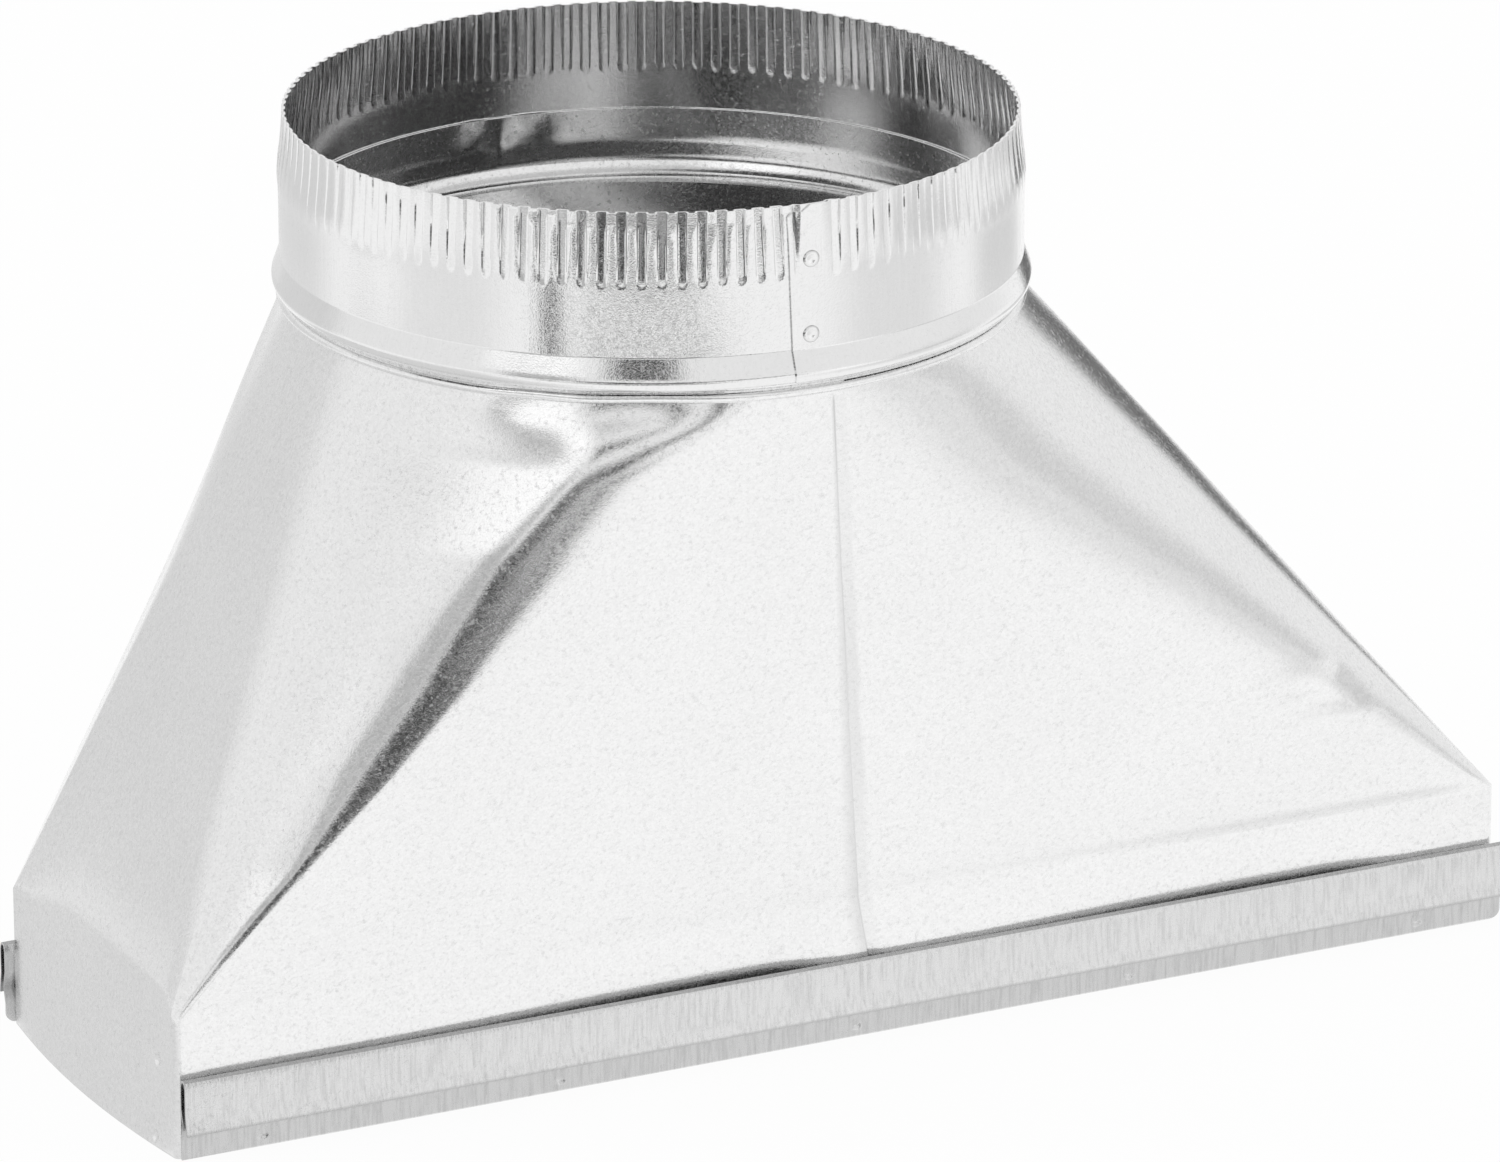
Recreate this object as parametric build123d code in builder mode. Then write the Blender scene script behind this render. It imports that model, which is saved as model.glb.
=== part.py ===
from build123d import *
import os
from math import cos, degrees, radians, sin, sqrt

# Rectangular-to-round duct boot of folded galvanised sheet, in millimetres and degrees.
# It stands on its rectangular rim: origin at the middle of the rim, +X along the long side, +Z up the collar.
# The front is the -Y side. Angles round the collar are counted from the front, positive towards -X.

# Sheet
sheet = 0.5
nest_gap = 0.12

# Rectangular end
base_length = 305.8
base_width = 84.6
base_corner_radius = 1.6
band_height = 30.0
end_bow = 3.0

# Collar
collar_diameter = 152.4
collar_shift = -25.4
collar_foot_height = 156.9
collar_height = 36.6
bead_proud = 2.2
bead_height = 7.0
crimp_height = 15.6
crimp_depth = 1.2
crimp_draw = 0.6
crimp_count = 120
crimp_ridge_share = 0.55

# Neck of the body, inside the collar
neck_rise = 13.2
ridge_height = 3.3
ridge_proud = 0.9

# Lap seams: the lower layer dips under the edge of the upper one
dip_width = 4.0
body_seam_foot_x = 6.5
body_seam_top_angle = -2.3
body_lap_width = 5.0
collar_seam_angle = 4.9
collar_dip_depth = 0.3
collar_lap_angle = 9.0

# Clinches pressed into the sheets
button_diameter = 3.7
button_depth = 0.25
button_angle = 1.6
button_low_height = 166.7
button_high_height = 182.3
dimple_diameter = 2.4
dimple_depth = 0.25

# Flat shares of the collar's circle that run down into the straight panels
front_half_angle = 4.0
end_half_angle = 9.0

# Cleat strips along the two long sides
cleat_height = 17.6
cleat_pocket = 1.2
cleat_lip_height = 6.0
cleat_lip_flare = 1.0
cleat_lip_crease_height = 10.4
cleat_flange_height = 4.2
cleat_pinch = 0.9
cleat_pinch_height = 7.7
cleat_inset = 1.1
cleat_overhang = 1.6
cleat_corner_radius = 2.5
cleat_dimple_height = 2.6
cleat_dimple_count = 5
cleat_dimple_spacing = 67.0

# Clinches on the end bands, near the front corners
end_dimple_inset = 9.0
end_dimple_heights = (2.4, 18.6)

# Worked out from the sizes above
wall_radius = collar_diameter / 2
rim_height = collar_foot_height + collar_height
crimp_base_height = rim_height - crimp_height
crimp_radius = wall_radius - crimp_draw
bead_top_height = collar_foot_height + bead_height
bead_middle_height = bead_top_height - bead_height / 2
bead_radius = ((bead_height / 2) ** 2 + bead_proud**2) / (2 * bead_proud)
bead_centre_radius = wall_radius + bead_proud - bead_radius
shoulder_radius = wall_radius - 2 * nest_gap
neck_radius = wall_radius - sheet - nest_gap
neck_bead_radius = bead_radius - sheet - nest_gap
neck_bead_half = sqrt(neck_bead_radius**2 - (neck_radius - bead_centre_radius) ** 2)
neck_top_height = collar_foot_height + neck_rise
body_top_height = collar_foot_height - ridge_height
collar_axis = Axis((collar_shift, 0, 0), (0, 0, 1))
front_face = -base_width / 2


def on_collar(angle, radius):
    """Plan position at an angle from the front, towards -X, on a circle about the collar's axis."""
    return (collar_shift - radius * sin(radians(angle)), -radius * cos(radians(angle)))


def end_edge(start, finish, bow):
    """Short side of the base outline, straight or bowed along X."""
    if bow:
        return ThreePointArc(start, (start[0] + bow, 0), finish)
    return Line(start, finish)


def base_outline(height, inset, bow=0):
    """Edges of a rounded rectangle, from the front edge round by the right end. Its ends may bow out."""
    half_length = base_length / 2 - inset
    half_width = base_width / 2 - inset
    radius = base_corner_radius - inset
    x = half_length - radius
    y = half_width - radius
    with BuildLine(Plane.XY.offset(height)):
        return [
            Line((-x, -half_width), (x, -half_width)),
            CenterArc((x, -y), radius, 270, 90),
            end_edge((half_length, -y), (half_length, y), bow),
            CenterArc((x, y), radius, 0, 90),
            Line((x, half_width), (-x, half_width)),
            CenterArc((-x, y), radius, 90, 90),
            end_edge((-half_length, y), (-half_length, -y), -bow),
            CenterArc((-x, -y), radius, 180, 90),
        ]


def neck_outline(height, inset):
    """Circle cut into eight arcs that pair with the edges and corners of the base outline."""
    centre = (collar_shift, 0)
    radius = shoulder_radius - inset
    halves = (front_half_angle, end_half_angle)
    arcs = []
    with BuildLine(Plane.XY.offset(height)):
        for quarter in range(4):
            half = halves[quarter % 2]
            next_half = halves[(quarter + 1) % 2]
            middle = 270 + 90 * quarter
            arcs.append(CenterArc(centre, radius, middle - half, 2 * half))
            arcs.append(CenterArc(centre, radius, middle + half, 90 - half - next_half))
    return arcs


def ruled_solid(lower, upper):
    """Solid between two closed outlines, with a ruled face between each edge and its partner."""
    faces = [Face.make_surface_from_curves(low.edge(), high.edge()) for low, high in zip(lower, upper)]
    faces.append(Face(Wire(lower)))
    faces.append(Face(Wire(upper)))
    return Solid(Shell(faces))


def taper_solids(inset):
    """Solids of the band and of the taper above it, both inside an inset from the outer face."""
    rim = base_outline(0, inset, end_bow)
    band_top = base_outline(band_height, inset)
    neck_foot = neck_outline(body_top_height, inset)
    return [ruled_solid(rim, band_top), ruled_solid(band_top, neck_foot)]


def end_face_x(y, height):
    """Distance from the middle of the base to the outside of an end band, which bows out towards the rim."""
    half_edge = base_width / 2 - base_corner_radius
    return base_length / 2 + end_bow * (1 - (y / half_edge) ** 2) * (1 - height / band_height)


def seam_section(height):
    """Plan position of the body seam on the outside of the front panel at a height."""
    share = height / body_top_height
    top_x, top_y = on_collar(body_seam_top_angle, shoulder_radius)
    x = body_seam_foot_x + (top_x - body_seam_foot_x) * share
    rise = max(0, height - band_height) / (body_top_height - band_height)
    return x, front_face + (top_y - front_face) * rise


# Body: band, four panels and four conical corners, ridge and neck, all one sheet
outer_solids = taper_solids(0)
inner_solids = taper_solids(sheet)
with BuildPart() as body:
    add(outer_solids)
    add(inner_solids, mode=Mode.SUBTRACT)

    with BuildSketch(Plane.XZ.shift_origin((collar_shift, 0, 0))):
        with BuildLine():
            foot = (shoulder_radius, body_top_height)
            ridge_foot = (shoulder_radius, body_top_height + sheet)
            ridge_peak = (wall_radius + ridge_proud, body_top_height + ridge_height / 2)
            neck_foot = (neck_radius, collar_foot_height - nest_gap)
            bead_foot = (neck_radius, bead_middle_height - neck_bead_half)
            bead_peak = (bead_centre_radius + neck_bead_radius, bead_middle_height)
            bead_top = (neck_radius, bead_middle_height + neck_bead_half)
            Line(foot, ridge_foot)
            ThreePointArc(ridge_foot, ridge_peak, neck_foot)
            Line(neck_foot, bead_foot)
            ThreePointArc(bead_foot, bead_peak, bead_top)
            Line(bead_top, (neck_radius, neck_top_height))
            offset(amount=sheet, side=Side.LEFT)
        make_face()
    revolve(axis=collar_axis)

    # Inner layer of the front lap, then the dip of the sheet that goes under the free edge
    for height in (0, band_height, body_top_height):
        with BuildSketch(Plane.XY.offset(height)):
            x, y = seam_section(height)
            with Locations((x, y + sheet)):
                Rectangle(2 * body_lap_width, sheet)
    loft(ruled=True)
    for height in (0, band_height, body_top_height):
        with BuildSketch(Plane.XY.offset(height)):
            x, y = seam_section(height)
            with BuildLine():
                Polyline((x, y - sheet), (x, y + sheet), (x + dip_width, y), (x + dip_width, y - sheet), close=True)
            make_face()
    loft(ruled=True, mode=Mode.SUBTRACT)

    # Clinches on the two end bands
    dimple_y = front_face + end_dimple_inset
    for end in (-1, 1):
        for height in end_dimple_heights:
            floor_x = end * (end_face_x(dimple_y, height) - dimple_depth)
            with BuildSketch(Plane((floor_x, dimple_y, height), x_dir=(0, 1, 0), z_dir=(end, 0, 0))):
                Circle(dimple_diameter / 2)
            extrude(amount=dimple_diameter, mode=Mode.SUBTRACT)


# Collar: plain wall with a bead at its foot, and a crimped upper end
def crimp_outline(inset):
    """Closed outline of flat ridges with a sharp groove after each one."""
    pitch = 360 / crimp_count
    ridge = crimp_radius - inset
    corners = ((0.0, ridge), (crimp_ridge_share, ridge), (0.5 + crimp_ridge_share / 2, ridge - crimp_depth))
    points = []
    for crimp in range(crimp_count):
        for share, radius in corners:
            points.append(on_collar(button_angle + (crimp + share) * pitch, radius))
    Polyline(*points, close=True)


def collar_sector(outer_radius, inner_radius, middle_angle, sweep):
    """Plan outline of a stretch of wall about an angle from the front."""
    start = 270 - middle_angle - sweep / 2
    outer = CenterArc((collar_shift, 0), outer_radius, start, sweep)
    inner = CenterArc((collar_shift, 0), inner_radius, start, sweep)
    Line(outer @ 0, inner @ 0)
    Line(outer @ 1, inner @ 1)


def collar_dip(radius):
    """Plan outline of the dip beside the free edge of the outer layer."""
    far = collar_seam_angle + degrees(dip_width / radius)
    outside = radius + sheet
    free_edge = on_collar(collar_seam_angle, radius - collar_dip_depth)
    far_edge = on_collar(far, radius)
    Polyline(on_collar(collar_seam_angle, outside), free_edge, far_edge, on_collar(far, outside), close=True)


with BuildPart() as collar:
    with BuildSketch(Plane.XZ.shift_origin((collar_shift, 0, 0))):
        with BuildLine():
            bead_foot = (wall_radius, collar_foot_height)
            bead_peak = (wall_radius + bead_proud, bead_middle_height)
            bead_top = (wall_radius, bead_top_height)
            ThreePointArc(bead_foot, bead_peak, bead_top)
            Line(bead_top, (wall_radius, crimp_base_height))
            offset(amount=sheet, side=Side.LEFT)
        make_face()
    revolve(axis=collar_axis)

    # Shoulder that closes the lower ends of the crimps
    with BuildSketch(Plane.XY.offset(crimp_base_height - sheet)):
        with Locations((collar_shift, 0)):
            Circle(wall_radius)
            Circle(crimp_radius - crimp_depth - sheet, mode=Mode.SUBTRACT)
    extrude(amount=sheet)

    # Inner layer of the lap, above the neck
    lap_foot_height = neck_top_height + sheet
    with BuildSketch(Plane.XY.offset(lap_foot_height)):
        with BuildLine():
            collar_sector(wall_radius - sheet / 2, wall_radius - 2 * sheet, button_angle, collar_lap_angle)
        make_face()
    extrude(amount=crimp_base_height - lap_foot_height)

    # Dip beside the free edge of the lap, above the bead
    with BuildSketch(Plane.XY.offset(bead_top_height)):
        with BuildLine():
            collar_dip(wall_radius)
        make_face()
    extrude(amount=crimp_base_height - bead_top_height, mode=Mode.SUBTRACT)

    # Crimped end, left plain round the upper button, with the same lap and dip
    with BuildSketch(Plane.XY.offset(crimp_base_height)):
        with BuildLine():
            crimp_outline(0)
        make_face()
        with BuildLine():
            crimp_outline(sheet)
        make_face(mode=Mode.SUBTRACT)
        with BuildLine():
            collar_sector(crimp_radius, crimp_radius - 2 * sheet, button_angle, collar_lap_angle)
        make_face()
        with BuildLine():
            collar_dip(crimp_radius)
        make_face(mode=Mode.SUBTRACT)
    extrude(amount=crimp_height)

    # Two clinch buttons through the lap, one on the plain wall and one in the crimped end
    button_side = (cos(radians(button_angle)), -sin(radians(button_angle)), 0)
    button_out = (-sin(radians(button_angle)), -cos(radians(button_angle)), 0)
    for height, radius in ((button_low_height, wall_radius), (button_high_height, crimp_radius)):
        button_face = Plane((*on_collar(button_angle, radius), height), x_dir=button_side, z_dir=button_out)
        with BuildSketch(button_face):
            Circle(button_diameter / 2)
        extrude(amount=-button_depth, mode=Mode.SUBTRACT)


# Cleats: folded strips with a pocket that opens downward, the same strip turned half round
def cleat_strip(seat):
    """Strip whose back lies on the seat plane's origin edge, extruded along the plane's normal."""
    depth = 2 * sheet + cleat_pocket
    with BuildPart() as strip:
        with BuildSketch(seat):
            with BuildLine():
                flange = Line((0, 0), (0, cleat_flange_height))
                out = Line(flange @ 1, (cleat_pinch, cleat_pinch_height))
                back = Line(out @ 1, (0, 2 * cleat_pinch_height - cleat_flange_height))
                rise = Line(back @ 1, (0, cleat_height - depth / 2))
                fold = ThreePointArc(rise @ 1, (depth / 2, cleat_height), (depth, cleat_height - depth / 2))
                fall = Line(fold @ 1, (depth, cleat_lip_crease_height))
                Line(fall @ 1, (depth + cleat_lip_flare, cleat_lip_height))
                offset(amount=sheet, side=Side.RIGHT)
            make_face()
        length = base_length - cleat_inset + cleat_overhang
        extrude(amount=length)
        end_edges = strip.edges().filter_by(Axis.Y).group_by(Axis.Z)[0]
        fillet(end_edges.sort_by_distance(seat.origin)[0], cleat_corner_radius)

        # Clinches along the flange, spaced about the middle of the base
        middle = seat.from_local_coords((sheet, cleat_dimple_height, base_length / 2 + cleat_overhang))
        with BuildSketch(Plane(middle, x_dir=seat.z_dir, z_dir=seat.x_dir)):
            with GridLocations(cleat_dimple_spacing, 0, cleat_dimple_count, 1):
                Circle(dimple_diameter / 2)
        extrude(amount=-dimple_depth, mode=Mode.SUBTRACT)
    return strip


cleat_end = base_length / 2 + cleat_overhang
front_cleat = cleat_strip(Plane((cleat_end, front_face, 0), x_dir=(0, -1, 0), z_dir=(-1, 0, 0)))
back_cleat = cleat_strip(Plane((-cleat_end, -front_face, 0), x_dir=(0, 1, 0), z_dir=(1, 0, 0)))

os.makedirs("parts", exist_ok=True)
body.part.label = "body"
collar.part.label = "collar"
front_cleat.part.label = "front_cleat"
back_cleat.part.label = "back_cleat"
export_step(body.part, "parts/body.step")
export_step(collar.part, "parts/collar.step")
export_step(front_cleat.part, "parts/front_cleat.step")
export_step(back_cleat.part, "parts/back_cleat.step")
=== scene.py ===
from math import cos, radians, sin, sqrt

import bpy
import numpy as np
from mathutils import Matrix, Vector


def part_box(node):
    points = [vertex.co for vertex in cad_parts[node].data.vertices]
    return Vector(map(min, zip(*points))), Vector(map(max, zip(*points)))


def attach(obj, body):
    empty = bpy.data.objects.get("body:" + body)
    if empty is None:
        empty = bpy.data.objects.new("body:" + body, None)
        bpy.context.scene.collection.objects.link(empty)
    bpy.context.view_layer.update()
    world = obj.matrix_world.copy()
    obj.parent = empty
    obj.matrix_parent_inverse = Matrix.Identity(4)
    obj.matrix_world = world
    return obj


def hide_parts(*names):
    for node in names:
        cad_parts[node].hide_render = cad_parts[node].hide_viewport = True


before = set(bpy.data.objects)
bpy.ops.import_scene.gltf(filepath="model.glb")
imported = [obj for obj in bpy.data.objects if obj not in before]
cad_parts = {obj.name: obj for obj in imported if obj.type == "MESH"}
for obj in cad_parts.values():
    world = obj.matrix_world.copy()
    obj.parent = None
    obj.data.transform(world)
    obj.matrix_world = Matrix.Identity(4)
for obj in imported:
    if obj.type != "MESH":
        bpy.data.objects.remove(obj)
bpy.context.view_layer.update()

# Sizes are in millimetres and degrees, and become metres when a mesh is written.
# Angles round the collar are counted from the front (-Y), positive towards -X.
MM = 0.001
collar_low, collar_high = (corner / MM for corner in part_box("collar"))
body_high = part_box("body")[1] / MM
cleat_low, cleat_high = (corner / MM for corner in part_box("front_cleat"))

# Sheet, and the air left between two layers
gauge = 0.5
layer_gap = 0.06

# Rectangular end
end_bow = 2.8
solid_end_bow = 3.0
half_length = body_high.x - solid_end_bow
half_width = -cleat_high.y
corner_radius = 1.6
band_height = 30.0
fillet_round = 10.0
fillet_reach = 24.0

# Collar
axis_x = (collar_low.x + collar_high.x) / 2
wall_radius = 76.2
foot_height = collar_low.z
rim_height = collar_high.z
bead_proud = 1.6
bead_height = 8.6
crimp_base = rim_height - 15.6
crimp_count = 120
crimp_depth = 1.35

# Neck of the body, inside the collar
shoulder_radius = 75.96
taper_top = foot_height - 3.3
neck_radius = 75.55
neck_top = body_high.z
ridge_proud = 1.1

# Lap seams
body_seam_foot_x = 6.5
body_seam_top_angle = -2.3
body_lap_width = 5.0
dip_width = 4.5
collar_seam_low = 4.3
collar_seam_high = 5.4
collar_lap_angle = 9.0

# Clinches
button_angle = 1.6
button_heights = (166.7, 182.3)
button_radius = 1.85
end_dimple_y = -half_width + 9.0
end_dimple_heights = (2.4, 18.6)
dimple_radius = 1.7
dimple_floor = 0.4
dimple_depth = 0.5

# Shares of the collar's circle that run into the flat panels, and the soft fold between two corner facets
front_half_angle = 4.0
near_half_angle = 11.0
end_half_angle = 9.0
fold_angle = 40.0

# How far the folds are rounded: at the band, and added up to the circle at the far corner and at the near end
fold_reach = 2.0
far_fold_spread = 20.0
near_fold_spread = 10.0
near_fold_columns = 30

# Camera that the photograph was taken with
camera_azimuth = -26.46
camera_elevation = 19.21
camera_distance = 2178.8
camera_target = Vector((-2.89, 0.0, 87.03))
camera_lens = 251.5

# Studio, in metres and shares of white
floor_size = 12.0
floor_drop = 0.0002
floor_glow = 0.95
world_glow = 0.88


def ease(low, high, value):
    """Smooth step from 0 at low to 1 at high."""
    share = np.clip((value - low) / (high - low), 0, 1)
    return share * share * (3 - 2 * share)


def mix(first, second, share):
    return first + (second - first) * share


def hump(value, middle, half):
    """Smooth bump of height 1 about a middle."""
    return np.exp(-(((value - middle) / half) ** 2))


def spread(start, stop, steps, power=1.0):
    """Values from start up to, but not at, stop, closer together near the start where power is above 1."""
    return mix(start, stop, np.linspace(0, 1, steps, endpoint=False) ** power)


def on_circle(turn):
    """Place on the circle where the taper meets the neck, as a complex number."""
    angle = radians(turn)
    return complex(axis_x - shoulder_radius * sin(angle), -shoulder_radius * cos(angle))


def select_only(*pieces):
    """Selects these pieces and no others, with the last one active."""
    bpy.ops.object.select_all(action="DESELECT")
    for piece in pieces:
        piece.select_set(True)
        bpy.context.view_layer.objects.active = piece


def places_of(piece):
    """Places of the piece's vertices in metres, one row each."""
    flat = np.empty(len(piece.data.vertices) * 3, np.float32)
    piece.data.vertices.foreach_get("co", flat)
    return flat.reshape(-1, 3)


def store_painted_shadow(piece, marks):
    """Stores how much painted shade darkens each vertex, for the finish to read."""
    shadow = piece.data.attributes.new("painted_shadow", "FLOAT", "POINT")
    shadow.data.foreach_set("value", marks.astype(np.float32))


def form_sheet(name, columns, rows, place):
    """Flat blank with a vertex at each column and row, bent so that each vertex goes to place(column, row)."""
    select_only()
    across, up = len(columns) - 1, len(rows) - 1
    bpy.ops.mesh.primitive_grid_add(x_subdivisions=across, y_subdivisions=up, size=2)
    piece = bpy.context.object
    piece.name = name
    flat = places_of(piece)
    column = np.rint((flat[:, 0] + 1) / 2 * across).astype(int)
    row = np.rint((flat[:, 1] + 1) / 2 * up).astype(int)
    placed = np.stack(place(columns[column], rows[row]), axis=1) * MM
    piece.data.vertices.foreach_set("co", placed.astype(np.float32).ravel())
    piece.data.update()
    return piece


def thicken(piece, side):
    """Gives the sheet its gauge, away from the formed face on that side, and smooths all but its cut edges."""
    select_only(piece)
    thickness = piece.modifiers.new("gauge", "SOLIDIFY")
    thickness.thickness = gauge * MM
    thickness.offset = side
    thickness.use_even_offset = False
    bpy.ops.object.modifier_apply(modifier=thickness.name)
    bpy.ops.object.shade_smooth_by_angle(angle=radians(38))


# Body: columns run round the sheet from the hidden edge under the front lap to the free edge over it
def seam_line(height):
    """Where the free edge of the front lap is at a height."""
    return mix(body_seam_foot_x, on_circle(body_seam_top_angle).real, height / taper_top)


class BodyColumns:
    """Where each column of the sheet meets the rim, the top of the band and the collar's circle."""

    def __init__(self):
        self.parts = []
        flat_x = half_length - corner_radius
        flat_y = half_width - corner_radius
        seam_rim = body_seam_foot_x
        seam_band = seam_line(band_height)
        lap_turn = np.degrees(body_lap_width / shoulder_radius)
        under = np.linspace(-1, 0, 4, endpoint=False)
        right = spread(0, 1, 40, 1.8)
        left = np.linspace(0, 1, 46)
        round_corner = np.linspace(0, 1, 44, endpoint=False)
        near_corner = 1 - np.linspace(1, 0, 70, endpoint=False) ** 1.4
        near_dimple = end_dimple_y + np.linspace(-2, 2, 11)
        end_y = np.sort(np.concatenate((np.linspace(-flat_y, flat_y, 12)[:-1], near_dimple)))
        back = np.linspace(0, 1, 48, endpoint=False)

        self.front(seam_rim + body_lap_width * under, seam_band + body_lap_width * under,
                   body_seam_top_angle - lap_turn * under, layer=1.0)
        self.front_right = len(under) + 12
        self.front(mix(seam_rim, flat_x, right), mix(seam_band, flat_x, right),
                   mix(body_seam_top_angle, -front_half_angle, right))
        self.corner(1, -1, 270, round_corner, -front_half_angle, -90 + end_half_angle, 0.0)
        self.far_corner = sum(part.shape[1] for part in self.parts)
        self.end(1, end_y)
        self.corner(1, 1, 0, round_corner, -90 - end_half_angle, -180 + front_half_angle)
        self.add(mix(flat_x, -flat_x, back), mix(flat_x, -flat_x, back), half_width,
                 mix(-180 + front_half_angle, -180 - front_half_angle, back), 0.0, 0.0)
        self.corner(-1, 1, 90, round_corner, -180 - front_half_angle, -270 + end_half_angle)
        self.near_end = sum(part.shape[1] for part in self.parts)
        self.end(-1, np.concatenate(((flat_y,), end_y[:0:-1])))
        self.near_corner = np.arange(len(near_corner)) + sum(part.shape[1] for part in self.parts)
        self.from_crease = 1 - near_corner
        self.corner(-1, -1, 180, near_corner, -270 - end_half_angle, -360 + near_half_angle, 0.0)
        self.front_left = np.arange(len(left)) + sum(part.shape[1] for part in self.parts)
        self.from_seam = 1 - left
        self.front(mix(-flat_x, seam_rim, left), mix(-flat_x, seam_band, left),
                   mix(-360 + near_half_angle, -360 + body_seam_top_angle, left))
        self.table = np.concatenate(self.parts, axis=1)
        self.count = self.table.shape[1]

    def add(self, rim_x, band_x, y, turn, layer, fold):
        self.parts.append(np.stack(np.broadcast_arrays(rim_x, band_x, y, turn, layer, fold)))

    def front(self, rim_x, band_x, turn, layer=0.0):
        self.add(rim_x, band_x, -half_width, turn, layer, 0.0)

    def corner(self, x_side, y_side, start, share, turn_from, turn_to, fold=1.0):
        """Conical corner: a small arc at the base, a wide one on the circle, folded into two facets."""
        angle = np.radians(start + 90 * share)
        x = x_side * (half_length - corner_radius) + corner_radius * np.cos(angle)
        y = y_side * (half_width - corner_radius) + corner_radius * np.sin(angle)
        turn = mix(turn_from, turn_to, share)
        self.add(x, x, y, turn, 0.0, fold)

    def end(self, x_side, y):
        middle = -90 if x_side > 0 else -270
        turn = middle - x_side * (y / (half_width - corner_radius)) * end_half_angle
        self.add(x_side * half_length, x_side * half_length, y, turn, 0.0, 0.0)


def facet_sag(turn):
    """How far the corner's two flat facets lie inside the cone, for a circle of radius 1."""
    from_front = np.abs((turn + 180) % 360 - 180)
    from_front = np.minimum(from_front, 180 - from_front)
    first = np.clip((from_front - front_half_angle) / (fold_angle - front_half_angle), 0, 1)
    second = np.clip((from_front - fold_angle) / (90 - end_half_angle - fold_angle), 0, 1)
    flat_first = 4 * first * (1 - first)
    soft_first = np.sin(np.pi * first) ** 2
    soft_second = np.sin(np.pi * second) ** 2
    flat_second = 4 * second * (1 - second)
    sag_first = 1 - cos(radians((fold_angle - front_half_angle) / 2))
    sag_second = 1 - cos(radians((90 - end_half_angle - fold_angle) / 2))
    return sag_first * mix(flat_first, soft_first, first) + sag_second * mix(soft_second, flat_second, 0.4)


def soften(path, reach):
    """Rounds the bends of a level cut over a reach in millimetres, and keeps its two ends."""
    steps = np.abs(np.diff(path))
    along = np.concatenate(((0,), np.cumsum(steps)))
    even = np.linspace(0, along[-1], 500)
    fine = np.interp(even, along, path.real) + 1j * np.interp(even, along, path.imag)
    turn = np.unwrap(np.angle(np.diff(fine)))
    pitch = along[-1] / 499
    half = int(3 * reach / pitch) + 1
    weights = np.exp(-((np.arange(-half, half + 1) * pitch / reach) ** 2) / 2)
    padded = np.pad(turn, half, mode="reflect", reflect_type="odd")
    turn = np.convolve(padded, weights / weights.sum(), mode="valid")
    curve = np.concatenate(((0,), np.cumsum(np.exp(1j * turn))))
    curve = path[0] + curve * (path[-1] - path[0]) / curve[-1]
    return np.interp(along, even, curve.real) + 1j * np.interp(along, even, curve.imag)


def crease_bow(taper):
    """How far the near crease bows away from a straight line between the corner and the circle."""
    levels = (0, 0.1, 0.24, 0.4, 0.56, 0.76, 0.9, 0.96, 1)
    return np.interp(taper, levels, (0, 1.6, 0.8, 0.2, -0.9, -1.6, -0.6, -0.2, 0))


def near_section(taper, from_crease):
    """Level cut through the near corner: a roll at the crease, a curved band, then a broad flat facet."""
    share = np.linspace(0, 1, 600)
    levels = (0, 0.1, 0.24, 0.32, 0.4, 0.56, 0.66, 0.76, 0.9, 1)
    roll = np.interp(taper, levels, (0.12, 0.1, 0.09, 0.085, 0.08, 0.13, 0.2, 0.26, 0.23, 0.23))
    width = np.interp(taper, levels, (0.3, 0.26, 0.14, 0.22, 0.3, 0.27, 0.2, 0.12, 0.08, 0.1))
    stops = (0, *(roll + width * np.array((0, 0.3, 0.5, 0.65, 0.95, 1.0))), 0.6, 0.8, 0.92, 1)
    facets = np.interp(share, stops, (2, 21, 26, 32, 38, 45, 47, 50, 57, 70, 86))
    round_turn = mix(mix(0, near_half_angle, taper), mix(90, 90 - end_half_angle, taper), share)
    facet_share = ease(0.0, 0.08, taper) * (1 - ease(0.88, 1.0, taper))
    turn = np.radians(mix(round_turn, facets, facet_share))
    path = np.concatenate(((0,), np.cumsum(np.exp(1j * (np.pi - (turn[1:] + turn[:-1]) / 2)))))
    low_start = complex(corner_radius - half_length, -half_width)
    low_end = complex(-half_length, corner_radius - half_width)
    start = mix(low_start, on_circle(near_half_angle), taper) - crease_bow(taper)
    finish = mix(low_end, on_circle(90 - end_half_angle), taper)
    path = start + path * (finish - start) / path[-1]
    return np.interp(from_crease, share, path.real), np.interp(from_crease, share, path.imag)


def bead_swell(height):
    """Share of the bead's full depth at a height: a quick roll under, then a long straight slope up."""
    above = (0, 0.4, 0.9, 1.5, 2.0, 2.4, 6.5, 6.66, bead_height)
    share = (0.45, 0.68, 0.88, 0.99, 1.0, 0.95, 0.03, 0, 0)
    return np.interp(height - foot_height, above, share)


def neck_profile():
    """Radius and height of the ridge, the neck, its bead and its top edge, up from the taper."""
    ridge = np.linspace(0, 1, 9)[1:]
    bead = np.linspace(foot_height - 0.5, foot_height + bead_height, 13)
    radius = np.concatenate((
        mix(shoulder_radius, neck_radius + 0.2, ridge) + ridge_proud * np.sin(np.pi * ridge) ** 0.8,
        neck_radius + bead_proud * bead_swell(bead),
        (neck_radius, neck_radius, neck_radius),
    ))
    height = np.concatenate((
        mix(taper_top, foot_height - 0.8, ridge),
        bead,
        (167.0, neck_top - 0.4, neck_top),
    ))
    return radius, height


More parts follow.
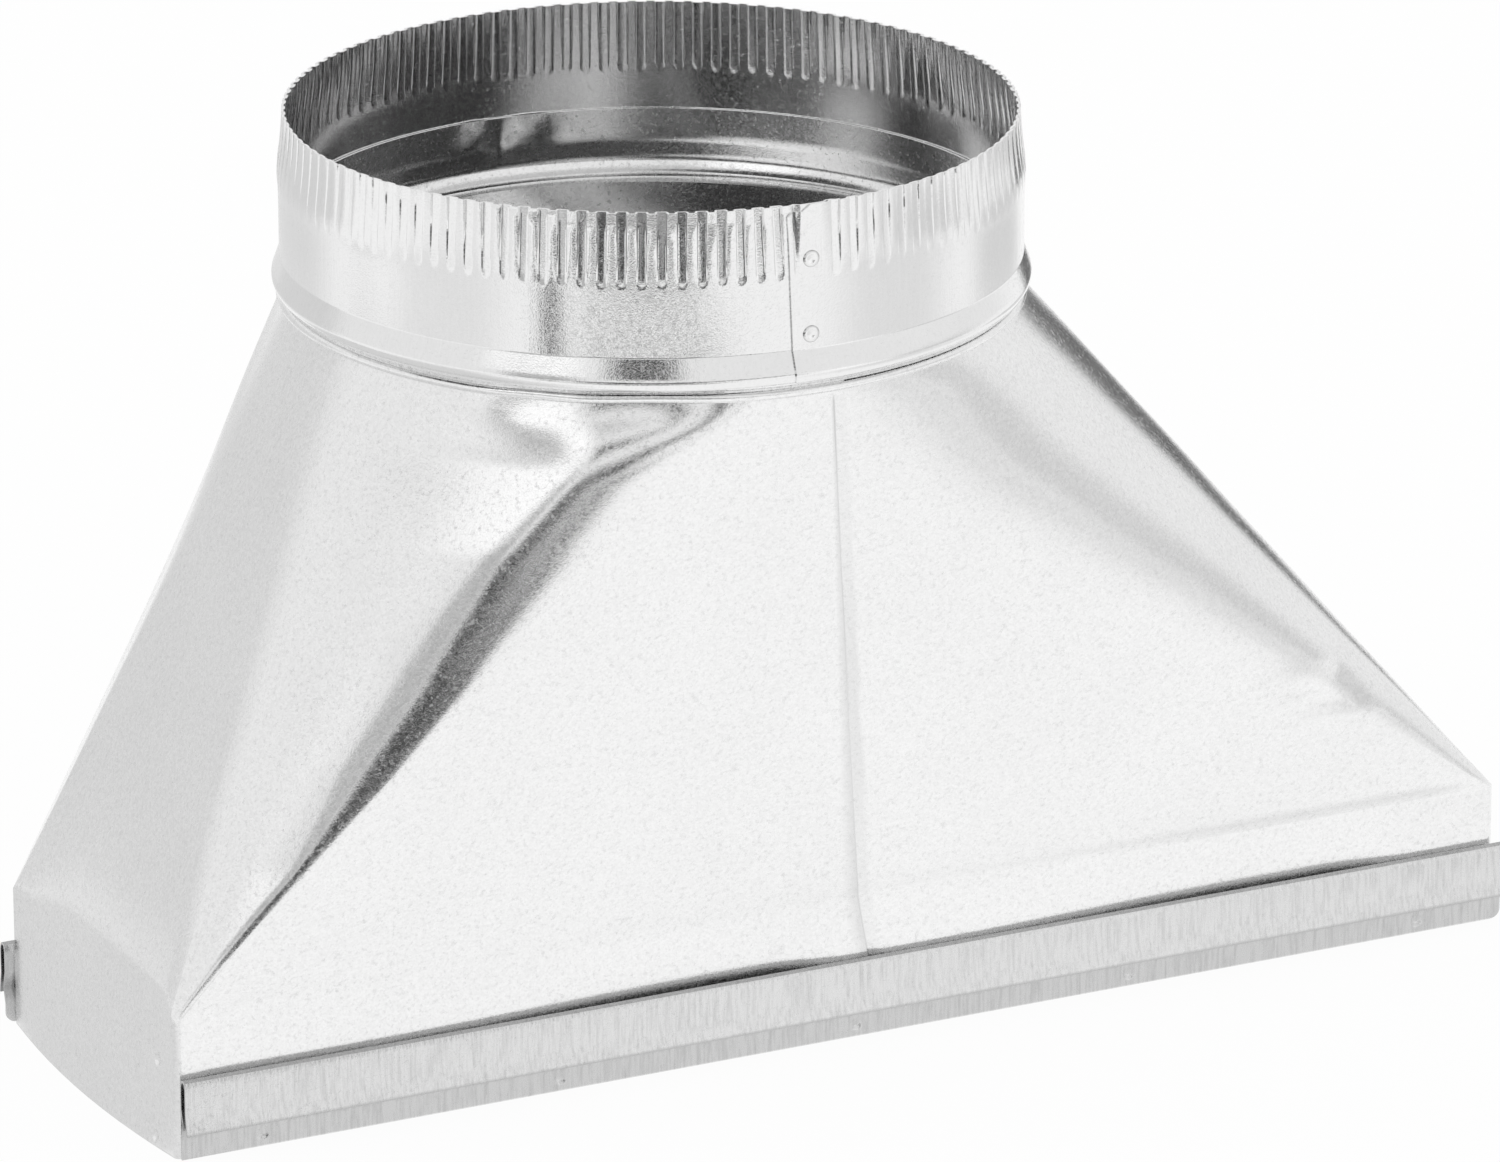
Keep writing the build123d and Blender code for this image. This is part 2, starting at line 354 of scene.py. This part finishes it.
body_columns = BodyColumns()
neck_radii, neck_heights = neck_profile()
neck_rows = taper_top + 1 + np.arange(len(neck_radii))
dimple_rows = np.array([-1.6, -1.2, -0.9, -0.6, -0.3, 0, 0.3, 0.6, 0.9, 1.2, 1.6])
body_rows = np.concatenate((
    (0.07, 0.4),
    end_dimple_heights[0] + dimple_rows,
    (5.5, 9, 12.5, 14.5, 15.6, 16.4),
    end_dimple_heights[1] + dimple_rows,
    (21, 22.5, 24, 25.5, 27, 28.2, 29.2),
    spread(band_height, taper_top, 62),
    (taper_top,),
    neck_rows,
))

# Dents and soft waves of the panels: middle x, middle height, half width, half height, depth
front_dents = (
    (104.0, 59.0, 8.0, 3.2, 1.3),
    (114.0, 55.0, 5.0, 2.8, -0.9),
    (95.0, 65.0, 6.0, 3.0, -0.8),
    (110.0, 64.5, 4.0, 2.4, 0.9),
    (-95.0, 42.0, 26.0, 9.0, 0.8),
)

# Dents in the round part: angle, middle height, half angle, half height, depth
ring_dents = (
    (26.0, 153.8, 11.0, 4.4, 1.7),
    (44.0, 152.8, 5.5, 3.6, 0.8),
    (176.0, 166.5, 2.2, 3.0, 0.9),
    (181.0, 165.0, 1.6, 3.5, -0.6),
    (186.0, 167.0, 2.4, 2.6, 0.8),
    (191.0, 166.0, 1.8, 3.0, -0.4),
)


def crevice_share(x):
    """How far the front panel stands back above the cleat, least at the corners and the seam."""
    left = mix(0.08, 0.32, ease(-110, -30, x)) * ease(3, 22, 3 - x)
    right = 0.26 * ease(14, 95, x)
    at_corner = 1 - ease(half_length - 38, half_length - 20, x) - ease(half_length - 8, half_length - 2, -x)
    return np.where(x > 3, right, left) * at_corner


def round_cuts(x, plan_y, column, taper):
    """Shapes the taper's level cuts in place: the near corner's facets, then the softer folds."""
    first, last = body_columns.near_corner[[0, -1]]
    panel_start = body_columns.front_left[0]
    folds = (
        (body_columns.front_right, body_columns.far_corner, far_fold_spread),
        (body_columns.near_end, first + near_fold_columns, near_fold_spread),
    )
    for level in np.unique(taper[taper > 0]):
        here = taper == level
        corner = here & (column >= first) & (column <= last)
        x[corner], plan_y[corner] = near_section(level, body_columns.from_crease[column[corner] - first])
        for start, stop, fold_spread in folds:
            cut = np.flatnonzero(here & (column >= start) & (column <= stop))
            cut = cut[np.argsort(column[cut])]
            path = soften(x[cut] + 1j * plan_y[cut], fold_reach + fold_spread * level)
            x[cut], plan_y[cut] = path.real, path.imag
        panel = here & (column >= panel_start)
        x[panel] -= crease_bow(level) * body_columns.from_seam[column[panel] - panel_start]


def belly_out(rim_x, y, height):
    """How far +X the ends stand out: they belly towards the rim, round into the taper and hold two dimples."""
    on_end = np.abs(rim_x) > half_length - 1e-4
    across = y / (half_width - corner_radius)
    above = height - band_height
    lean_in = (half_length - shoulder_radius - np.sign(rim_x) * axis_x) / (taper_top - band_height)
    fillet = lean_in * (np.hypot(above, fillet_round) - np.abs(above)) / 2 * hump(above, 0, fillet_reach)
    belly = end_bow * (1 - across ** 2) * (1 - np.clip(height / band_height, 0, 1)) ** 1.3
    out = belly - fillet * (1 - across ** 4)
    for dimple_height in end_dimple_heights:
        away = np.hypot(y - end_dimple_y, height - dimple_height)
        out = out - dimple_depth * (1 - ease(dimple_floor, dimple_radius, away))
    return np.where(on_end, np.sign(rim_x) * out, 0)


def wave_and_dent(x, plan_y, turn, height, taper):
    """Waves and dents of thin sheet."""
    angle = np.radians(turn)
    live = ease(20, 45, height) * (1 - ease(0.86, 1.0, taper))
    wave = 0.22 * np.sin(x / 21 + height / 33) * np.sin(height / 27 + x / 60 + 1.3)
    wave += 0.10 * np.sin(x / 9.5 - height / 14 + 0.7) * np.sin(height / 11 + 2.1 + x / 40)
    out = live * wave
    for dent_turn, dent_height, wide, tall, depth in ring_dents:
        from_dent = (turn - dent_turn + 180) % 360 - 180
        out = out - depth * hump(from_dent, 0, wide) * hump(height, dent_height, tall)
    x = x - out * np.sin(angle)
    plan_y = plan_y - out * np.cos(angle)
    for dent_x, dent_height, wide, tall, depth in front_dents:
        dent = depth * hump(x, dent_x, wide) * hump(height, dent_height, tall)
        plan_y = plan_y + np.where(plan_y < 0, dent, 0)
    return x, plan_y


def place_body(column, row):
    """Where a column of the blank goes at a row: straight up the band, along the taper, then up the neck."""
    rim_x, band_x, y, turn, layer, fold = body_columns.table[:, column]
    in_neck = row > taper_top
    height = np.where(in_neck, np.interp(row, neck_rows, neck_heights), row)
    radius = np.where(in_neck, np.interp(row, neck_rows, neck_radii), shoulder_radius)
    angle = np.radians(turn)
    out_x, out_y = -np.sin(angle), -np.cos(angle)
    taper = np.clip((height - band_height) / (taper_top - band_height), 0, 1)
    band = np.clip(height / band_height, 0, 1)

    # Straight rulings from the band to the circle, with the corners folded into facets
    x = mix(mix(rim_x, band_x, band), axis_x + radius * out_x, taper)
    plan_y = mix(y, radius * out_y, taper)
    round_cuts(x, plan_y, column, np.where(in_neck, 0, taper))
    sag = fold * facet_sag(turn) * shoulder_radius * taper * (1 - ease(0.35, 1.0, taper))
    x = x - sag * out_x
    plan_y = plan_y - sag * out_y
    x = x + belly_out(rim_x, y, height)

    # Long panels run on straight below the fold, so they stand back above the cleats
    on_long = np.abs(np.abs(y) - half_width) < 1e-4
    lean = (shoulder_radius - half_width) / (taper_top - band_height)
    back_off = lean * (band_height - height) * ease(9, 16.5, height) * (height < band_height)
    plan_y = plan_y - np.where(on_long, np.sign(y) * back_off * crevice_share(x), 0)

    # Lap seam: the hidden layer and the dip beside the free edge
    seam_x = seam_line(height)
    on_right = on_long & (y < 0) & (turn > -front_half_angle - 1e-4)
    dip = np.where(on_right, 1 - ease(0, dip_width, x - seam_x), 0) * (1 - ease(0.8, 1.0, taper))
    drop = (gauge + layer_gap) * np.maximum(layer, dip)
    x = x - drop * out_x * in_neck
    plan_y = plan_y - drop * np.where(in_neck, out_y, -1.0)
    x, plan_y = wave_and_dent(x, plan_y, turn, height, taper)
    return x, plan_y, height


def painted_shadow(place):
    """Painted shade along the front lap: a dark line where the sheet goes under the free edge, and a fainter
    shaded band beside it.
    """
    x, y, height = place
    seam_x = seam_line(height)
    line = hump(x, seam_x + 0.2, 0.25)
    in_band = ease(seam_x, seam_x + 0.3, x) * (1 - ease(seam_x + 2.6, seam_x + 3.2, x))
    band = (0.1 + 0.25 * hump(height, 78, 34)) * in_band
    return np.maximum(line, band) * (y < 0) * (height < taper_top)


def make_body():
    body = form_sheet("body_sheet", np.arange(body_columns.count), body_rows, place_body)
    # Painted shadow along the lap seam, kept on the sheet for the finish.
    store_painted_shadow(body, painted_shadow(places_of(body).T / MM))
    thicken(body, side=-1)
    return body


# Collar: a strip rolled from the free edge of the lap right round and under itself
crimp_pitch = 360 / crimp_count
crimp_stops = np.array((0, 80, 86, 104, 110, 145, 180, 215, 250, 256, 274, 280, 360))
crimp_shares = np.array((0, 0, 0.06, 0.94, 1, 1, 1, 1, 1, 0.94, 0.06, 0, 0))
collar_columns = np.concatenate((
    (0,),
    (np.arange(crimp_count)[:, None] * crimp_pitch + crimp_stops[None, 1:-1] / 360 * crimp_pitch).ravel(),
    np.linspace(360, 360 + collar_lap_angle, 14),
))
collar_rows = np.concatenate((
    foot_height + np.array((0, 0.4, 0.9, 1.5, 2.0, 2.4, 3.2, 4.8, 6.35, 6.5, 6.66, 6.85, bead_height)),
    (169, 173, 176, 177.2, 177.7, 178.2, 178.7, 179.3, 180.3, 183, 186, 189, 191.5, 192.8, 193.2, 193.47),
))


def place_collar(column, row):
    """Where a column of the strip goes at a row: the bead, the plain wall, then the crimps."""
    # The blank starts at the free edge of the lap, and turns towards +X
    lean = mix(collar_seam_low, collar_seam_high, (row - foot_height) / (rim_height - foot_height))
    middle_lean = (collar_seam_low + collar_seam_high) / 2
    near_edge = np.maximum(1 - ease(0, 12, column), ease(348, 360, column))
    turn = middle_lean + (lean - middle_lean) * near_edge - column
    lift = (gauge + layer_gap) * (1 - ease(0, 75, column))

    # Bead, plain wall, and an upper end that draws in most at the two sides
    angle = np.radians(turn)
    at_side = np.sin(angle + radians(camera_azimuth)) ** 2
    swell = 0.25 * at_side * hump(row, crimp_base + 3.0, 3.2)
    draw = 0.9 * at_side * ease(crimp_base + 2, rim_height, row)
    radius = wall_radius + bead_proud * bead_swell(row) + lift

    # Crimps: flat grooves that lean inwards from rounded lower ends, pressed flat round the upper button
    crimp = np.floor(column / crimp_pitch)
    uneven = 0.5 + 0.5 * np.sin(crimp * 12.9898) * np.cos(crimp * 4.1414)
    phase = column / crimp_pitch % 1 * 360
    groove = np.interp(phase, crimp_stops, crimp_shares)
    start = crimp_base + 0.5 * uneven + 0.8 * np.clip((phase - 180) / 75, -1, 1) ** 2
    pressed = 0.12 * ease(start, start + 0.8, row) + 0.88 * np.clip((row - start) / (rim_height - start), 0, 1)
    from_button = (turn - button_angle + 180) % 360 - 180
    near_button = 1 - ease(1.6, 2.8, np.abs(from_button))
    from_camera = np.abs((turn + camera_azimuth + 180) % 360 - 180)
    facing = mix(0.2, 1.0, hump(from_camera, 0, 30)) + 0.3 * ease(85, 105, from_camera)
    crimped = pressed * mix(0.85, 1.1, uneven) * (1 - near_button) * facing
    radius = radius + (swell - draw) * (1 - 0.6 * near_button) - crimp_depth * groove * crimped

    # Notched corner of the outer layer at the rim
    notch = 1.3 * (1 - ease(2.3, 3.2, column)) + 0.9 * (1 - ease(0, 0.9, column))
    height = row - notch * ease(rim_height - 6, rim_height, row)
    x = axis_x - radius * np.sin(angle)
    y = -radius * np.cos(angle)
    return x, y, height


# Rings of a clinch button: radius, how far it stands out, and how dark its painted shadow line is
button_rings = ((1.0, 0.0, 1.0), (0.9, 0.1, 1.0), (0.8, 0.24, 0.2),
                (0.66, 0.28, 0.0), (0.42, 0.22, 0.0), (0.2, 0.14, 0.0))
button_sink = 0.04


def make_button(height):
    """Round clinch: a disc drawn in ring by ring, with a low rim and a dished middle."""
    select_only()
    bpy.ops.mesh.primitive_circle_add(vertices=40, radius=button_radius * MM, fill_type="NGON")
    button = bpy.context.object
    bpy.ops.object.mode_set(mode="EDIT")
    for outer, inner in zip(button_rings, button_rings[1:]):
        bpy.ops.mesh.extrude_region_move(TRANSFORM_OT_translate={"value": (0, 0, (inner[1] - outer[1]) * MM)})
        bpy.ops.transform.resize(value=(inner[0] / outer[0], inner[0] / outer[0], 1))
    bpy.ops.object.mode_set(mode="OBJECT")
    # Painted shadow line round the button's rim.
    reaches, _, rim_shadow = zip(*reversed(button_rings))
    x, y, _ = places_of(button).T / MM
    store_painted_shadow(button, np.interp(np.hypot(x, y) / button_radius, reaches, rim_shadow))
    stand = wall_radius + gauge + layer_gap - button_sink
    angle = radians(button_angle)
    button.location = ((axis_x - stand * sin(angle)) * MM, -stand * cos(angle) * MM, height * MM)
    button.rotation_euler = (radians(90), 0, -angle)
    bpy.ops.object.transform_apply(location=True, rotation=True, scale=False)
    bpy.ops.object.shade_smooth_by_angle(angle=radians(60))
    return button


def make_collar():
    collar = form_sheet("collar_sheet", collar_columns, collar_rows, place_collar)
    thicken(collar, side=-1)
    buttons = [make_button(height) for height in button_heights]
    select_only(*buttons, collar)
    bpy.ops.object.join()
    return collar


# Cleats: a strip folded step by step, then copied and turned half round
flange_height = 4.2
cleat_air = 0.03
cleat_folds = ((0.9, 7.7), (0.0, 11.2), (0.0, 15.9), (0.35, 17.0), (1.1, 17.35), (1.85, 17.0), (2.2, 15.9),
               (2.2, 10.4), (2.88, 6.7), (3.0, 6.0))
cleat_dimples = (-134.0, -67.5, 0.5, 64.5, 134.0)
cleat_dimple_height = 2.8
clinch_reach = 4.2
clinch_rings = ((1.5, 0.1), (1.25, 0.14), (0.95, 0.12), (0.5, 0.06))
end_round = 2.5


def select_vertices(piece, test):
    """Selects, in edit mode, the vertices whose place in millimetres passes the test."""
    bpy.ops.object.mode_set(mode="OBJECT")
    for face in piece.data.polygons:
        face.select = False
    for edge in piece.data.edges:
        edge.select = False
    for vertex in piece.data.vertices:
        vertex.select = bool(test(vertex.co / MM))
    bpy.ops.object.mode_set(mode="EDIT")


def make_front_cleat():
    left, right = cleat_low.x, cleat_high.x
    face_y = -half_width - gauge / 2 - cleat_air
    select_only()
    bpy.ops.mesh.primitive_grid_add(x_subdivisions=120, y_subdivisions=2, size=1,
                                    location=((left + right) / 2 * MM, face_y * MM, flange_height / 2 * MM),
                                    rotation=(radians(90), 0, 0))
    strip = bpy.context.object
    strip.name = "front_cleat_strip"
    strip.scale = ((right - left) * MM, flange_height * MM, 1)
    bpy.ops.object.transform_apply(location=True, rotation=True, scale=True)

    # Fold the strip up, over and down, one bend at a time
    bpy.ops.object.mode_set(mode="EDIT")
    bpy.ops.mesh.select_mode(type="VERT")
    select_vertices(strip, lambda place: place.z > flange_height - 0.01)
    reached = (0.0, flange_height)
    for fold in cleat_folds:
        step = (0, -(fold[0] - reached[0]) * MM, (fold[1] - reached[1]) * MM)
        bpy.ops.mesh.extrude_region_move(TRANSFORM_OT_translate={"value": step})
        reached = fold

    # Finer mesh at each clinch, pressed in ring by ring
    for middle in cleat_dimples:
        def near(place):
            on_flange = place.z < flange_height + 0.1 and abs(place.y - face_y) < 1.0
            return on_flange and abs(place.x - middle) < clinch_reach
        select_vertices(strip, near)
        bpy.ops.mesh.subdivide(number_cuts=6)
        for reach, depth in clinch_rings:
            def in_ring(place):
                away = sqrt((place.x - middle) ** 2 + (place.z - cleat_dimple_height) ** 2)
                return near(place) and away < reach
            select_vertices(strip, in_ring)
            bpy.ops.transform.translate(value=(0, depth * MM, 0))

    # Rounded lower corner of the end that stands past the rim
    select_vertices(strip, lambda place: place.x > right - 0.05 and place.z < 0.05)
    bpy.ops.mesh.bevel(offset=end_round * MM, segments=6, affect="VERTICES")
    bpy.ops.mesh.select_all(action="SELECT")
    bpy.ops.mesh.normals_make_consistent(inside=False)
    bpy.ops.object.mode_set(mode="OBJECT")
    thicken(strip, side=0)

    # Painted shade inside the pocket, and a painted shadow line along the cut lower edge of its lip
    _, y, height = places_of(strip).T / MM
    out = face_y - y
    lip = np.interp(height, (6.0, 10.4), (3.0, 2.2))
    in_pocket = (height > 6.5) & (height < 16.6) & (out > 0.0) & (out < lip - 0.1)
    store_painted_shadow(strip, in_pocket | ((out > 2.6) & (height < 6.3)))
    return strip


def make_back_cleat(front):
    select_only(front)
    bpy.ops.object.duplicate()
    strip = bpy.context.object
    strip.name = "back_cleat_strip"
    strip.rotation_euler = (0, 0, radians(180))
    bpy.ops.object.transform_apply(location=False, rotation=True, scale=False)
    return strip


# Materials
class Socket:
    """An output socket of a material's nodes, with arithmetic that adds Math nodes."""

    def __init__(self, tree, output):
        self.tree = tree
        self.output = output

    def node(self, kind, settings=None, out=0, **inputs):
        """Adds a node of any other kind, with its settings first and then its inputs, named or by number."""
        added = self.tree.nodes.new(kind)
        for setting, value in (settings or {}).items():
            setattr(added, setting, value)
        for key, value in inputs.items():
            socket = added.inputs[int(key[1:])] if key[1:].isdigit() else added.inputs[key.replace("_", " ")]
            if isinstance(value, Socket):
                self.tree.links.new(value.output, socket)
            else:
                socket.default_value = value
        return Socket(self.tree, added.outputs[out])

    def maths(self, operation, *terms):
        inputs = {f"i{number}": term for number, term in enumerate(terms)}
        return self.node("ShaderNodeMath", {"operation": operation}, **inputs)

    def __add__(self, other):
        return self.maths("ADD", self, other)

    def __radd__(self, other):
        return self.maths("ADD", other, self)

    def __sub__(self, other):
        return self.maths("SUBTRACT", self, other)

    def __rsub__(self, other):
        return self.maths("SUBTRACT", other, self)

    def __mul__(self, other):
        return self.maths("MULTIPLY", self, other)

    def __rmul__(self, other):
        return self.maths("MULTIPLY", other, self)

    def scaled(self, factors):
        return self.node("ShaderNodeVectorMath", {"operation": "MULTIPLY"}, i0=self, i1=factors)

    def noise(self, scale, detail=2.0, roughness=0.5):
        return self.node("ShaderNodeTexNoise", None, Vector=self, Scale=scale, Detail=detail,
                         Roughness=roughness)

    def tint(self, dark, light):
        """Colour between two greys."""
        return self.node("ShaderNodeMix", {"data_type": "RGBA"}, 2, i0=self, i6=(*dark, 1), i7=(*light, 1))


def new_material(name):
    material = bpy.data.materials.new(name)
    material.use_nodes = True
    tree = material.node_tree
    surface = next(node for node in tree.nodes if node.type == "BSDF_PRINCIPLED")
    place = tree.nodes.new("ShaderNodeTexCoord")
    return material, tree, surface, Socket(tree, place.outputs["Object"])


def galvanised(name, tone, roughness, streaks, grain):
    """Zinc-coated sheet: fine crystals, dark flecks, dull smudges, and streaks that run up the sheet, darkened
    by painted shade where a vertex attribute asks for it.
    """
    material, tree, surface, place = new_material(name)
    crystals = place.node("ShaderNodeTexVoronoi", None, "Color", Vector=place, Scale=1900.0)
    crystal = crystals.node("ShaderNodeSeparateColor", None, 0, Color=crystals)
    fine = place.noise(3000.0, 2.0, 0.6)
    flecks = place.noise(1000.0, 3.0, 0.6)
    fleck = flecks.node("ShaderNodeMapRange", None, 0, Value=flecks, From_Min=0.53, From_Max=0.75)
    smudge = place.noise(26.0, 3.0, 0.55)
    streak = place.scaled((1.0, 1.0, 0.08)).noise(1500.0, 3.0, 0.6)
    wear = grain * (crystal - 0.5) + grain * (fine - 0.5) - (1.5 * grain) * fleck
    shade = wear + streaks * (streak - 0.5) + 0.2 * (smudge - 0.5) + 0.87
    # Painted shade read from a vertex attribute darkens the colour along the lap seam, round the clinch
    # buttons, inside the cleat pockets and along the cleat lips.
    lap = Socket(tree, tree.nodes.new("ShaderNodeAttribute").outputs["Fac"])
    lap.output.node.attribute_name = "painted_shadow"
    dark, light = (tone * 0.7,) * 3, (min(tone * 1.07, 1.0),) * 3
    colour = (shade * (1.0 - lap)).tint(dark, light)
    tree.links.new(colour.output, surface.inputs["Base Color"])
    dull = roughness + 0.08 * (smudge - 0.5) + 0.1 * (crystal - 0.5)
    dull = dull + 0.06 * streaks * (streak - 0.5) + 0.2 * fleck
    tree.links.new(dull.output, surface.inputs["Roughness"])
    surface.inputs["Metallic"].default_value = 1.0
    height = crystal * 0.3 + fine * 0.5 + streak * (streaks * 1.2)
    bump = height.node("ShaderNodeBump", None, 0, Strength=0.2, Distance=0.0002, Height=height)
    tree.links.new(bump.output, surface.inputs["Normal"])
    return material


def dress(piece, material, node):
    piece.data.materials.clear()
    piece.data.materials.append(material)
    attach(piece, "root")
    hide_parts(node)


# Stage
def emission_material(name, strength):
    """Glow of a grey, with its nodes in hand for the mask that fades it out."""
    material = bpy.data.materials.new(name)
    material.use_nodes = True
    tree = material.node_tree
    tree.nodes.clear()
    glow = tree.nodes.new("ShaderNodeEmission")
    glow.inputs["Strength"].default_value = strength
    mixer = tree.nodes.new("ShaderNodeMixShader")
    finish = tree.nodes.new("ShaderNodeOutputMaterial")
    tree.links.new(glow.outputs[0], mixer.inputs[2])
    tree.links.new(mixer.outputs[0], finish.inputs["Surface"])
    return material, tree, mixer


def card(name, centre, size, facing, grey, hard=(0.4, 0.4)):
    """Soft-edged card that only reflections see: it faces a point, or lies level, turned to an azimuth."""
    select_only()
    bpy.ops.mesh.primitive_plane_add(size=2, location=centre)
    made = bpy.context.object
    made.name = name
    made.scale = (size[0] / 2, size[1] / 2, 1)
    if isinstance(facing, tuple):
        made.rotation_euler = (Vector(facing) - Vector(centre)).to_track_quat("Z", "Y").to_euler()
    else:
        made.rotation_euler = (0, 0, radians(facing))
    material, tree, mixer = emission_material(name, grey)
    clear = tree.nodes.new("ShaderNodeBsdfTransparent")
    tree.links.new(clear.outputs[0], mixer.inputs[1])
    place = Socket(tree, tree.nodes.new("ShaderNodeTexCoord").outputs["Object"])
    split = tree.nodes.new("ShaderNodeSeparateXYZ")
    tree.links.new(place.output, split.inputs[0])
    fade = 1.0
    for axis in range(2):
        across = Socket(tree, split.outputs[axis])
        away = across.maths("ABSOLUTE", across)
        fade = fade * away.node("ShaderNodeMapRange", {"interpolation_type": "SMOOTHSTEP"}, 0, Value=away,
                                From_Min=hard[axis], From_Max=1.0, To_Min=1.0, To_Max=0.0)
    tree.links.new(fade.output, mixer.inputs[0])
    made.data.materials.append(material)
    for ray in ("camera", "diffuse", "shadow", "transmission"):
        setattr(made, f"visible_{ray}", False)
    return made


def around(azimuth, distance, height):
    """Place on the stage at an azimuth from the front, positive towards +X, in metres."""
    return (distance * sin(radians(azimuth)), -distance * cos(radians(azimuth)), height)


def make_floor():
    """White sweep: reflections see it plain white, the camera sees it with a faint shadow."""
    select_only()
    bpy.ops.mesh.primitive_plane_add(size=floor_size, location=(0, 0, -floor_drop))
    floor = bpy.context.object
    floor.name = "floor"
    material, tree, mixer = emission_material("floor_paper", 1.0)
    paper = tree.nodes.new("ShaderNodeBsdfDiffuse")
    paper.inputs["Color"].default_value = (0.97, 0.97, 0.97, 1)
    tree.links.new(paper.outputs[0], mixer.inputs[1])
    path = tree.nodes.new("ShaderNodeLightPath")
    seen = Socket(tree, path.outputs["Is Camera Ray"]) * floor_glow
    mirrored = Socket(tree, path.outputs["Is Glossy Ray"])
    tree.links.new((seen + mirrored).output, mixer.inputs[0])
    floor.data.materials.append(material)
    return floor


def light_world():
    world = bpy.data.worlds.new("studio")
    bpy.context.scene.world = world
    world.use_nodes = True
    background = world.node_tree.nodes["Background"]
    background.inputs["Color"].default_value = (1, 1, 1, 1)
    background.inputs["Strength"].default_value = world_glow


def make_camera():
    azimuth, elevation = radians(camera_azimuth), radians(camera_elevation)
    towards = Vector((sin(azimuth) * cos(elevation), -cos(azimuth) * cos(elevation), sin(elevation)))
    select_only()
    bpy.ops.object.camera_add(location=(camera_target + camera_distance * towards) * MM,
                              rotation=(radians(90) - elevation, 0, azimuth))
    camera = bpy.context.object
    camera.data.lens = camera_lens
    camera.data.sensor_width = 36.0
    camera.data.sensor_fit = "HORIZONTAL"
    camera.data.clip_start = 0.05
    camera.data.clip_end = 60.0
    bpy.context.scene.camera = camera


body = make_body()
collar = make_collar()
front_cleat = make_front_cleat()
back_cleat = make_back_cleat(front_cleat)
panel_finish = galvanised("panel_sheet", 0.88, 0.16, 0.03, 0.22)
collar_finish = galvanised("collar_sheet", 0.85, 0.08, 0.2, 0.05)
# The cleats' darker tone is painted shade: it stands in for the shaded floor near them that their faces
# reflect.
cleat_finish = galvanised("cleat_sheet", 0.70, 0.22, 1.8, 0.08)
dress(body, panel_finish, "body")
dress(collar, collar_finish, "collar")
dress(front_cleat, cleat_finish, "front_cleat")
dress(back_cleat, cleat_finish, "back_cleat")

# Cards stand for the photographer's room and, where noted, for shade on the floor: name, middle, size, facing,
# grey, and where each way's fading starts
floor = make_floor()
cards = [
    card("overhead_card", (0, 0, 1.0), (2.4, 2.4), 0.0, 0.55, (0.7, 0.7)),
    card("table_edge_card", around(-30, 0.40, 0.0), (0.41, 0.095), (0, 0, 0), 0.1, (0.4, 0.9)),
    card("low_gap_card", around(-30, 0.70, 0.0), (0.485, 0.40), (0, 0, 0), 0.06, (0.8, 0.55)),
    card("soft_gap_card", around(-4, 0.72, 0.118), (0.75, 0.075), (0, 0, 0.118), 0.1, (0.1, 0.75)),
    card("tall_gap_card", around(-30, 0.69, 0.385), (0.27, 0.125), (0, 0, 0.385), 0.06, (0.65, 0.7)),
    card("grey_left_card", around(-58, 0.5, 0.195), (0.175, 0.19), (0, 0, 0.195), 0.48, (0.85, 0.85)),
    card("bright_left_card", around(-62, 1.0, 0.68), (0.64, 0.5), (0, 0, 0.2), 1.15, (0.75, 0.75)),
    card("camera_side_card", around(-26.5, 0.6, 0.113), (0.12, 0.05), (0, 0, 0.113), 0.42, (0.5, 0.6)),
    card("bright_right_card", around(26, 1.2, 0.12), (0.6, 0.26), (0, 0, 0.1), 1.1, (0.5, 0.6)),
    card("dark_above_card", (-0.75, 0, 0.95), (1.2, 0.9), 0.0, 0.05, (0.8, 0.7)),
    # Painted shade: these two cards lie on the floor inside the duct, so reflections see the floor under it
    # shaded, darkest at the right.
    card("inside_left_shadow_card", (-0.12, 0, 0.0004), (0.07, 0.083), 0.0, 0.9, (0.9, 0.97)),
    card("inside_right_shadow_card", (0.035, 0, 0.0004), (0.24, 0.083), 0.0, 0.03, (0.95, 0.97)),
    card("stand_foot_card", around(-56.3, 0.627, 0.0003), (0.07, 0.2), -56.3, 0.02, (0.8, 0.9)),
    card("right_card", around(62, 0.75, 0.0), (0.66, 0.5), (0, 0, 0), 0.68, (0.3, 0.5)),
    card("right_floor_card", around(48, 0.52, 0.00015), (0.6, 0.7), 48.0, 0.8, (0.25, 0.25)),
    card("front_shade_card", (0, -0.048, 0.0002), (0.4, 0.044), 0.0, 0.8, (0.7, 0.1)),
    # Painted shadow: the floor beside the left end, as reflections see it.
    card("left_floor_shadow_card", (-0.32, 0.1, 0.0001), (0.37, 0.5), 0.0, 0.73, (0.95, 0.6)),
    card("left_far_card", around(-88, 0.66, 0.0002), (0.5, 0.4), -88.0, 0.84, (0.4, 0.4)),
    card("back_floor_card", around(-165, 0.75, 0.00015), (0.8, 0.8), -165.0, 0.75, (0.4, 0.4)),
    card("side_floor_card", around(105, 0.65, 0.0001), (0.5, 0.5), 105.0, 0.7, (0.4, 0.4)),
    card("back_right_card", around(128.5, 0.65, 0.0), (0.24, 0.36), (0, 0, 0), 0.14, (0.85, 0.85)),
    card("back_left_card", around(-150, 0.7, 0.1), (0.7, 0.6), (0, 0, 0.1), 0.72, (0.6, 0.6)),
]
light_world()
make_camera()
bpy.context.scene.view_settings.view_transform = "Standard"

bpy.context.view_layer.update()
